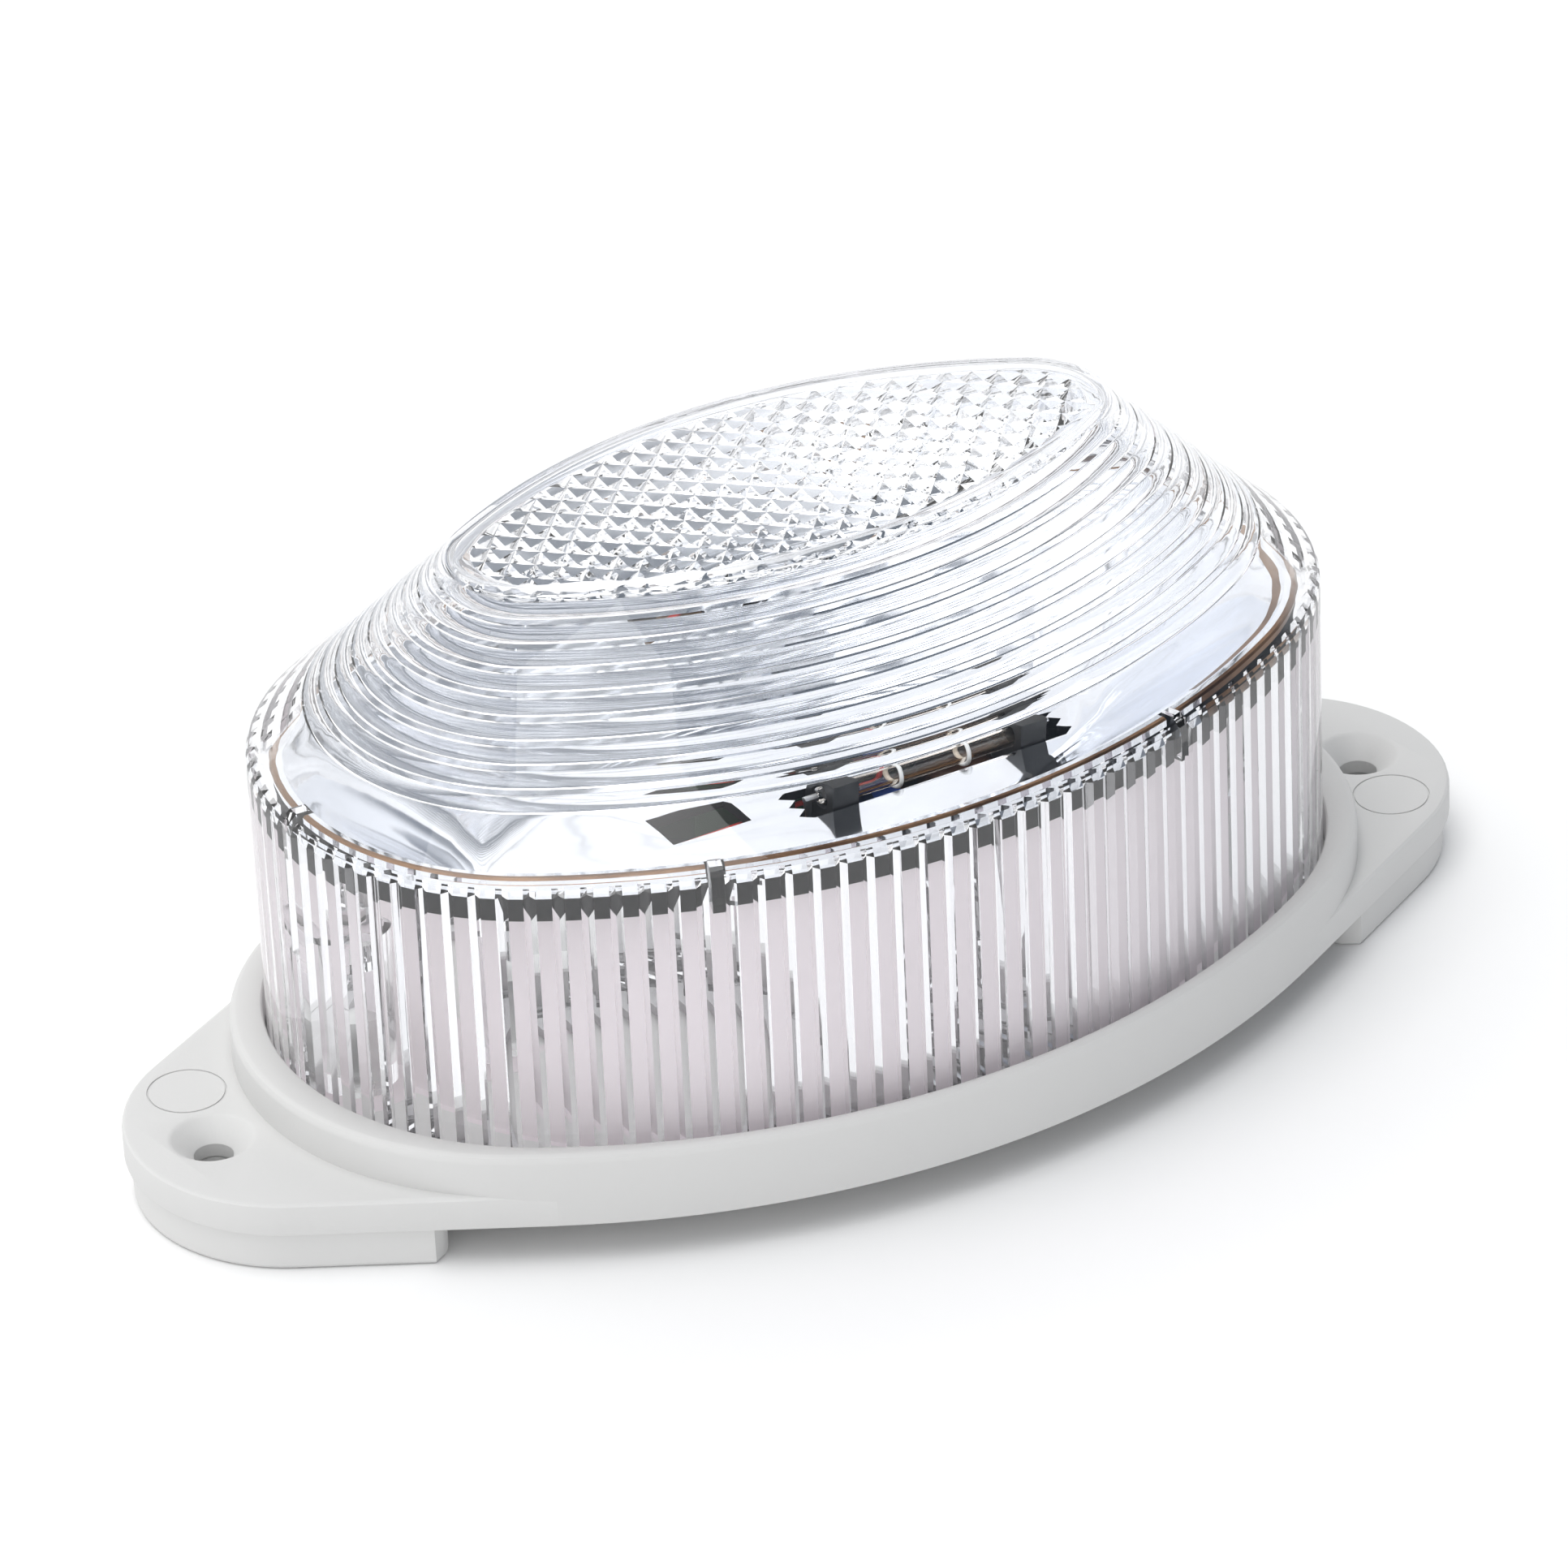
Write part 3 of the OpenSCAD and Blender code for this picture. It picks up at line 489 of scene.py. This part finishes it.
def at_edge(share, near, far, half, low, high, name):
    """Block that stands across the lens wall, between two insets."""
    p, n = oval_at(lens_size, share)
    t = Vector((-n.y, n.x))
    square = [p - n * d + t * h for d, h in ((near, -half), (near, half), (far, half), (far, -half))]
    return loft([[(q.x, q.y, z) for q in square] for z in (low, high)], name)


for share in rib_stations():
    notch = at_edge(share, 1 * mm, 4.0 * mm, rib_half + 0.3 * mm, skirt_z - mm, top + mm, "notch")
    merge(tray, notch, "DIFFERENCE")
smooth(tray, 28)

finish_piece(tray, "lens", [black_plastic, brown_film, mirror_skin], ["reflector_tray"])

# ---- Flash tube
# A straight xenon tube of clear glass in the slot of the dish: a thin wall round a bore, drawn in at
# both ends on to a tinned wire, with a sintered cathode and a pin anode inside.


def turned_along(profile, y, z, name, count=32):
    """Solid of revolution about a line along X, from a profile of (x, radius)."""
    rings = [
        [(x, y + r * math.cos(2 * math.pi * i / count), z + r * math.sin(2 * math.pi * i / count))
         for i in range(count)]
        for x, r in profile
    ]
    return loft(rings, name)


left, right = tube_low[0], tube_high[0]
glass_profile = [
    (left, 0.45 * mm), (left + 0.15 * mm, 0.85 * mm), (left + 0.6 * mm, 1.3 * mm), (left + 1.5 * mm, tube_r),
    (right - 1.5 * mm, tube_r), (right - 0.6 * mm, 1.3 * mm), (right - 0.15 * mm, 0.85 * mm),
    (right, 0.45 * mm),
]
bore_profile = [
    (left + 1.4 * mm, 0.3 * mm), (left + 2.0 * mm, 1.05 * mm), (right - 2.0 * mm, 1.05 * mm),
    (right - 1.4 * mm, 0.3 * mm),
]
tube = turned_along(glass_profile, tube_y, tube_z, "xenon_tube")
merge(tube, turned_along(bore_profile, tube_y, tube_z, "bore"), "DIFFERENCE")
smooth(tube, 30)


def clear(name, colour, ior, roughness=0.0, grain=None):
    """Clear glass or plastic. Shadows and diffuse light pass straight through it, so that what is
    inside is lit."""
    material = bpy.data.materials.new(name)
    material.use_nodes = True
    tree = material.node_tree
    shader = tree.nodes["Principled BSDF"]
    shader.inputs["Base Color"].default_value = (*colour, 1)
    shader.inputs["Roughness"].default_value = roughness
    shader.inputs["IOR"].default_value = ior
    shader.inputs["Transmission Weight"].default_value = 1
    out = tree.nodes["Material Output"]
    path = tree.nodes.new("ShaderNodeLightPath")
    open_way = tree.nodes.new("ShaderNodeBsdfTransparent")
    choose = tree.nodes.new("ShaderNodeMixShader")
    tree.links.new(path.outputs["Is Shadow Ray"], choose.inputs["Fac"])
    tree.links.new(shader.outputs["BSDF"], choose.inputs[1])
    tree.links.new(open_way.outputs["BSDF"], choose.inputs[2])
    scatter = tree.nodes.new("ShaderNodeMixShader")
    tree.links.new(path.outputs["Is Diffuse Ray"], scatter.inputs["Fac"])
    tree.links.new(choose.outputs["Shader"], scatter.inputs[1])
    tree.links.new(open_way.outputs["BSDF"], scatter.inputs[2])
    tree.links.new(scatter.outputs["Shader"], out.inputs["Surface"])
    if grain:
        place = tree.nodes.new("ShaderNodeTexCoord")
        flow = tree.nodes.new("ShaderNodeTexNoise")
        flow.inputs["Scale"].default_value = 1 / grain
        flow.inputs["Detail"].default_value = 3
        bump = tree.nodes.new("ShaderNodeBump")
        bump.inputs["Strength"].default_value = 0.25
        bump.inputs["Distance"].default_value = 0.02 * mm
        tree.links.new(place.outputs["Object"], flow.inputs["Vector"])
        tree.links.new(flow.outputs["Fac"], bump.inputs["Height"])
        tree.links.new(bump.outputs["Normal"], shader.inputs["Normal"])
    return material


tube_glass = clear("tube glass", (0.93, 0.86, 0.78), 1.47, 0.0, 4 * mm)
finish_piece(tube, "base", [tube_glass], ["flash_tube"])

# ---- Lens cover
# One shot of clear plastic. Its outside is smooth. Its inside carries upright flutes round the wall,
# nine prism rings up the slope and a field of small pyramids under the flat top.

lens_wall = 2.0 * mm
foot = lens_low[2]
crown = lens_high[2]
shoulder = crown - 20.2 * mm
slope = 20.3 / 20.2
lens_outside = [
    (0.25 * mm, foot), (0, foot + 0.25 * mm), (0, shoulder - 1.5 * mm), (0.06 * mm, shoulder - 0.9 * mm),
    (0.3 * mm, shoulder - 0.4 * mm), (0.75 * mm, shoulder + 0.02 * mm), (1.2 * mm, shoulder + 0.35 * mm),
]
lens_outside += [
    (1.0 * mm + (z - shoulder) * slope, z) for z in (shoulder + 7 * mm, shoulder + 14 * mm, crown - 0.9 * mm)
]
edge = 21.3 * mm
lens_outside += [(edge - 0.55 * mm, crown - 0.42 * mm), (edge, crown - 0.13 * mm), (edge + 0.6 * mm, crown)]
lens = loft([oval_ring(lens_size, d, z) for d, z in lens_outside], "lens")

window, ridge = 0.55, 0.775
window_depth = 1.35 * mm
ridge_depth = 2.35 * mm
flute_shares = [(i + s) / flutes for i in range(flutes) for s in (0, window, ridge)]
flute_depths = [d for i in range(flutes) for d in (window_depth, window_depth, ridge_depth)]
inner_top = crown - lens_wall


def inner_at(z):
    """Inset of the smooth inner face of the slope."""
    return 1.0 * mm + lens_wall * math.sqrt(1 + slope * slope) + (z - shoulder) * slope


prisms = 9
prism_low = shoulder + 2.8 * mm
prism_shape = [(0, 0.36), (0.2, 0.36), (0.28, 0.14), (0.42, 0.03), (0.6, 0), (0.78, 0.03), (0.92, 0.14)]
prism_pitch = (inner_top - prism_low) / prisms
hollow = [(flute_depths, foot - mm), (flute_depths, shoulder - 2.4 * mm), (2.0 * mm, shoulder - 1.8 * mm)]
hollow += [(inner_at(shoulder - 0.3 * mm), shoulder - 0.3 * mm)]
for i in range(prisms):
    for share, deep in prism_shape:
        z = prism_low + (i + share) * prism_pitch
        out = 0.7071 * deep * mm
        hollow.append((inner_at(z) - out, z + out))
hollow.append((inner_at(inner_top), inner_top))
void = loft([oval_ring(lens_size, d, z, flute_shares) for d, z in hollow], "hollow")

pyramid_pitch = 2.55 * mm
pyramid_depth = 0.85 * mm


def pyramid_field():
    """Geometry Nodes tree: a sheet folded into a field of square pyramids, then closed into a slab."""
    tree = bpy.data.node_groups.new("pyramid field", "GeometryNodeTree")
    tree.interface.new_socket("Geometry", in_out="OUTPUT", socket_type="NodeSocketGeometry")
    for name, kind, value in (
        ("Pitch", "NodeSocketFloat", pyramid_pitch), ("Depth", "NodeSocketFloat", pyramid_depth),
        ("Top", "NodeSocketFloat", 0.0), ("Turn", "NodeSocketFloat", 0.0),
        ("Cells Along", "NodeSocketInt", 30), ("Cells Across", "NodeSocketInt", 30),
    ):
        socket = tree.interface.new_socket(name, in_out="INPUT", socket_type=kind)
        socket.default_value = value
    tree.interface.new_socket("Material", in_out="INPUT", socket_type="NodeSocketMaterial")
    node, link = tree.nodes.new, tree.links.new
    given = node("NodeGroupInput").outputs
    made = node("NodeGroupOutput")

    def maths(how, a, b=None):
        step = node("ShaderNodeMath")
        step.operation = how
        for i, value in enumerate((a, b)):
            if isinstance(value, (int, float)):
                step.inputs[i].default_value = value
            elif value is not None:
                link(value, step.inputs[i])
        return step.outputs["Value"]

    sheet = node("GeometryNodeMeshGrid")
    for axis, cells in (("X", "Cells Along"), ("Y", "Cells Across")):
        link(maths("ADD", maths("MULTIPLY", given[cells], 2), 1), sheet.inputs[f"Vertices {axis}"])
        link(maths("MULTIPLY", given[cells], given["Pitch"]), sheet.inputs[f"Size {axis}"])
    place = node("GeometryNodeInputPosition")
    split = node("ShaderNodeSeparateXYZ")
    link(place.outputs["Position"], split.inputs["Vector"])

    def at_middle(axis):
        """1 where a point lies midway between two grid lines, 0 on a line."""
        steps = maths("DIVIDE", split.outputs[axis], maths("MULTIPLY", given["Pitch"], 0.5))
        return maths("MODULO", maths("ABSOLUTE", maths("ROUND", steps)), 2)

    apex = maths("MULTIPLY", at_middle("X"), at_middle("Y"))
    height = maths("SUBTRACT", given["Top"], maths("MULTIPLY", apex, given["Depth"]))
    fold = node("ShaderNodeCombineXYZ")
    link(height, fold.inputs["Z"])
    move = node("GeometryNodeSetPosition")
    link(sheet.outputs["Mesh"], move.inputs["Geometry"])
    link(fold.outputs["Vector"], move.inputs["Offset"])
    facets = node("GeometryNodeTriangulate")
    if "Quad Method" in facets.inputs:
        facets.inputs["Quad Method"].default_value = "Longest Diagonal"
    else:
        facets.quad_method = "LONGEST_DIAGONAL"
    link(move.outputs["Geometry"], facets.inputs["Mesh"])
    thick = node("GeometryNodeExtrudeMesh")
    thick.inputs["Individual"].default_value = False
    down = node("ShaderNodeCombineXYZ")
    down.inputs["Z"].default_value = -1
    link(facets.outputs["Mesh"], thick.inputs["Mesh"])
    link(down.outputs["Vector"], thick.inputs["Offset"])
    link(maths("MULTIPLY", given["Depth"], 2), thick.inputs["Offset Scale"])
    closed = node("GeometryNodeJoinGeometry")
    back = node("GeometryNodeFlipFaces")
    link(facets.outputs["Mesh"], back.inputs["Mesh"])
    link(thick.outputs["Mesh"], closed.inputs["Geometry"])
    link(back.outputs["Mesh"], closed.inputs["Geometry"])
    weld = node("GeometryNodeMergeByDistance")
    weld.inputs["Distance"].default_value = 0.01 * mm
    link(closed.outputs["Geometry"], weld.inputs["Geometry"])
    spin = node("GeometryNodeTransform")
    angle = node("ShaderNodeCombineXYZ")
    link(given["Turn"], angle.inputs["Z"])
    link(weld.outputs["Geometry"], spin.inputs["Geometry"])
    link(angle.outputs["Vector"], spin.inputs["Rotation"])
    real = node("GeometryNodeRealizeInstances")
    paint = node("GeometryNodeSetMaterial")
    link(spin.outputs["Geometry"], real.inputs["Geometry"])
    link(real.outputs["Geometry"], paint.inputs["Geometry"])
    link(given["Material"], paint.inputs["Material"])
    link(paint.outputs["Geometry"], made.inputs["Geometry"])
    return tree


def grown(name, tree, values):
    """Plain mesh object that a Geometry Nodes tree makes from these values."""
    obj = bpy.data.objects.new(name, bpy.data.meshes.new(name))
    bpy.context.collection.objects.link(obj)
    step = obj.modifiers.new(name, "NODES")
    step.node_group = tree
    for item in tree.interface.items_tree:
        if item.in_out == "INPUT" and item.name in values:
            step[item.identifier] = values[item.name]
    made = bpy.data.meshes.new_from_object(obj.evaluated_get(bpy.context.evaluated_depsgraph_get()))
    obj.modifiers.clear()
    obj.data = made
    return obj


clear_plastic = clear("clear plastic", (0.985, 0.99, 1.0), 1.52, 0.0, 12 * mm)
field = grown("pyramids", pyramid_field(), {
    "Pitch": pyramid_pitch, "Depth": pyramid_depth, "Top": inner_top + pyramid_depth,
    "Turn": math.radians(50.0), "Cells Along": 30, "Cells Across": 30, "Material": clear_plastic,
})
bound_rings = [
    oval_ring(lens_size, edge + 2.1 * mm, z, even_shares[::2]) for z in (inner_top - 0.2 * mm, crown)
]
merge(field, loft(bound_rings, "bound"), "INTERSECT")
merge(void, field, "UNION")
merge(lens, void, "DIFFERENCE")
for share in rib_stations():
    rib = at_edge(share, 1.0 * mm, 3.7 * mm, rib_half, skirt_z + 0.4 * mm, top + 0.2 * mm, "rib")
    merge(lens, rib, "UNION")
post_top = skirt_z - 10 * mm
for side in (-1, 1):
    post_sides = [(3.4 * mm, foot), (3.4 * mm, post_top - 0.3 * mm), (3.1 * mm, post_top)]
    post = turned(post_sides, (side * post_x, 0), "post")
    x0, x1 = sorted((side * post_x, side * (lens_size[0] - mm)))
    merge(post, block((x0, -0.8 * mm, foot), (x1, 0.8 * mm, post_top - 0.5 * mm), "web"), "UNION")
    merge(lens, post, "UNION")
    way = turned([(1.5 * mm, foot - mm), (1.5 * mm, post_top - 4 * mm)], (side * post_x, 0), "way")
    merge(lens, way, "DIFFERENCE")
smooth(lens, 19)
finish_piece(lens, "lens", [clear_plastic], ["lens_cover"])

# ---- The rest of the parts
# Screws, board, components, terminals and grommet keep the shapes the frame gives them. Each gets the
# skin of its real material: plated or tinned metal, moulded or dipped plastic, rubber.

plain = {
    "lens_screws": metal_skin("zinc plate", (0.72, 0.72, 0.70), 0.3, 2 * mm, 0.03 * mm),
    "circuit_board": plastic("phenolic board", (0.40, 0.22, 0.09), 0.5, 0.6 * mm, 0.03 * mm, 0.12),
    "tube_holders": plastic("black holder plastic", (0.02, 0.02, 0.02), 0.5, 0.4 * mm, 0.02 * mm),
    "trigger_rings": plastic("white wire", (0.88, 0.88, 0.86), 0.45, 0.3 * mm, 0.01 * mm),
    "trigger_lead": plastic("red sleeve", (0.62, 0.03, 0.02), 0.35, 0.8 * mm, 0.02 * mm, 0.08),
    "trigger_coil": plastic("bobbin plastic", (0.75, 0.72, 0.62), 0.45, 0.5 * mm, 0.02 * mm),
    "coil_winding": metal_skin("enamelled copper", (0.60, 0.28, 0.12), 0.25, 0.3 * mm, 0.1 * mm),
    "flash_capacitor_left": plastic("capacitor sleeve", (0.02, 0.025, 0.07), 0.28, 3 * mm, 0.05 * mm, 0.1),
    "trigger_capacitor": plastic("red resin", (0.35, 0.03, 0.015), 0.25, 2 * mm, 0.1 * mm, 0.08),
    "rectifier_diodes": plastic("black epoxy", (0.02, 0.02, 0.02), 0.5, 0.3 * mm, 0.02 * mm),
    "ballast_resistor": plastic("cement coat", (0.22, 0.33, 0.22), 0.7, 0.3 * mm, 0.06 * mm, 0.1),
    "timing_resistors": plastic("tan lacquer", (0.52, 0.36, 0.18), 0.35, 0.6 * mm, 0.03 * mm, 0.1),
    "varistor": plastic("blue resin", (0.02, 0.07, 0.35), 0.3, 1.2 * mm, 0.08 * mm, 0.08),
    "fuse": plastic("brown case", (0.13, 0.06, 0.03), 0.45, 0.5 * mm, 0.02 * mm),
    "terminal_block": plastic("green block plastic", (0.03, 0.16, 0.05), 0.45, 0.5 * mm, 0.02 * mm),
    "terminal_bars": metal_skin("brass", (0.78, 0.58, 0.25), 0.3, 2 * mm, 0.03 * mm),
    "cable_grommet": plastic("black rubber", (0.025, 0.025, 0.025), 0.7, 0.6 * mm, 0.04 * mm, 0.15),
    "component_leads": metal_skin("tinned wire", (0.78, 0.78, 0.78), 0.28, 1 * mm, 0.03 * mm),
}
same = {
    "board_screws": "lens_screws", "terminal_screw_left": "lens_screws",
    "terminal_screw_right": "lens_screws",
    "solder_joints": "component_leads", "tube_electrodes": "component_leads", "thyristor": "rectifier_diodes",
    "flash_capacitor_right": "flash_capacitor_left", "terminal_clamp_left": "terminal_bars",
    "terminal_clamp_right": "terminal_bars",
}
for name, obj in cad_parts.items():
    material = plain.get(name) or plain.get(same.get(name, ""))
    if material:
        obj.data.materials.clear()
        obj.data.materials.append(material)

# ---- Floor, light and camera
# A pale studio: a white floor, a white surround with one dimmer side that the mirrored dish picks up,
# a soft overhead light, and a long lens.

floor = block((-3, -3, -0.02), (3, 3, -0.0001), "floor")
floor_paint = plastic("white floor", (0.93, 0.93, 0.93), 0.7, 20 * mm, 0.01 * mm, 0.0)
floor.data.materials.append(floor_paint)

world = bpy.data.worlds.new("studio")
bpy.context.scene.world = world
world.use_nodes = True
sky = world.node_tree
back = sky.nodes["Background"]
way = sky.nodes.new("ShaderNodeTexCoord")
toward = sky.nodes.new("ShaderNodeVectorMath")
toward.operation = "DOT_PRODUCT"
toward.inputs[1].default_value = (0.62, -0.36, 0.70)
shades = sky.nodes.new("ShaderNodeValToRGB")
shades.color_ramp.interpolation = "EASE"
shades.color_ramp.elements[0].position = 0.62
shades.color_ramp.elements[0].color = (1.0, 1.0, 1.0, 1)
shades.color_ramp.elements[1].position = 0.86
shades.color_ramp.elements[1].color = (0.10, 0.12, 0.15, 1)
sky.links.new(way.outputs["Generated"], toward.inputs[0])
sky.links.new(toward.outputs["Value"], shades.inputs["Fac"])
sky.links.new(shades.outputs["Color"], back.inputs["Color"])
back.inputs["Strength"].default_value = 1.2


def softbox(name, at, aim, size, power):
    """Square area light at a place, turned to face another."""
    light = bpy.data.lights.new(name, "AREA")
    light.shape = "SQUARE"
    light.size = size
    light.energy = power
    obj = bpy.data.objects.new(name, light)
    bpy.context.collection.objects.link(obj)
    obj.location = at
    obj.rotation_euler = (Vector(aim) - Vector(at)).to_track_quat("-Z", "Y").to_euler()
    return obj


softbox("overhead", (-0.15, -0.10, 1.1), (0, 0, 0.03), 0.9, 5)

# lens, place and aim come from a fit to the photo's outlines
camera = bpy.data.cameras.new("camera")
camera.sensor_width = 36
camera.lens = 210.11
camera.clip_start = 0.01
eye = bpy.data.objects.new("camera", camera)
bpy.context.collection.objects.link(eye)
bearing, rise, roll = math.radians(-28.27855), math.radians(30.94471), math.radians(-2.63308)
behind = Vector((math.sin(bearing) * math.cos(rise), -math.cos(bearing) * math.cos(rise), math.sin(rise)))
level = Vector((math.cos(bearing), math.sin(bearing), 0))
upright = behind.cross(level)
right_way = math.cos(roll) * level + math.sin(roll) * upright
up_way = -math.sin(roll) * level + math.cos(roll) * upright
pose = Matrix((right_way, up_way, behind)).transposed().to_4x4()
pose.translation = Vector((-374.616, -694.089, 499.270)) * mm
eye.matrix_world = pose
bpy.context.scene.camera = eye
bpy.context.scene.view_settings.view_transform = "Standard"

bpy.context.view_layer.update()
# light crosses the lens and the dish many times
passes = bpy.context.scene.cycles
passes.max_bounces = 24
passes.transmission_bounces = 24
passes.glossy_bounces = 12
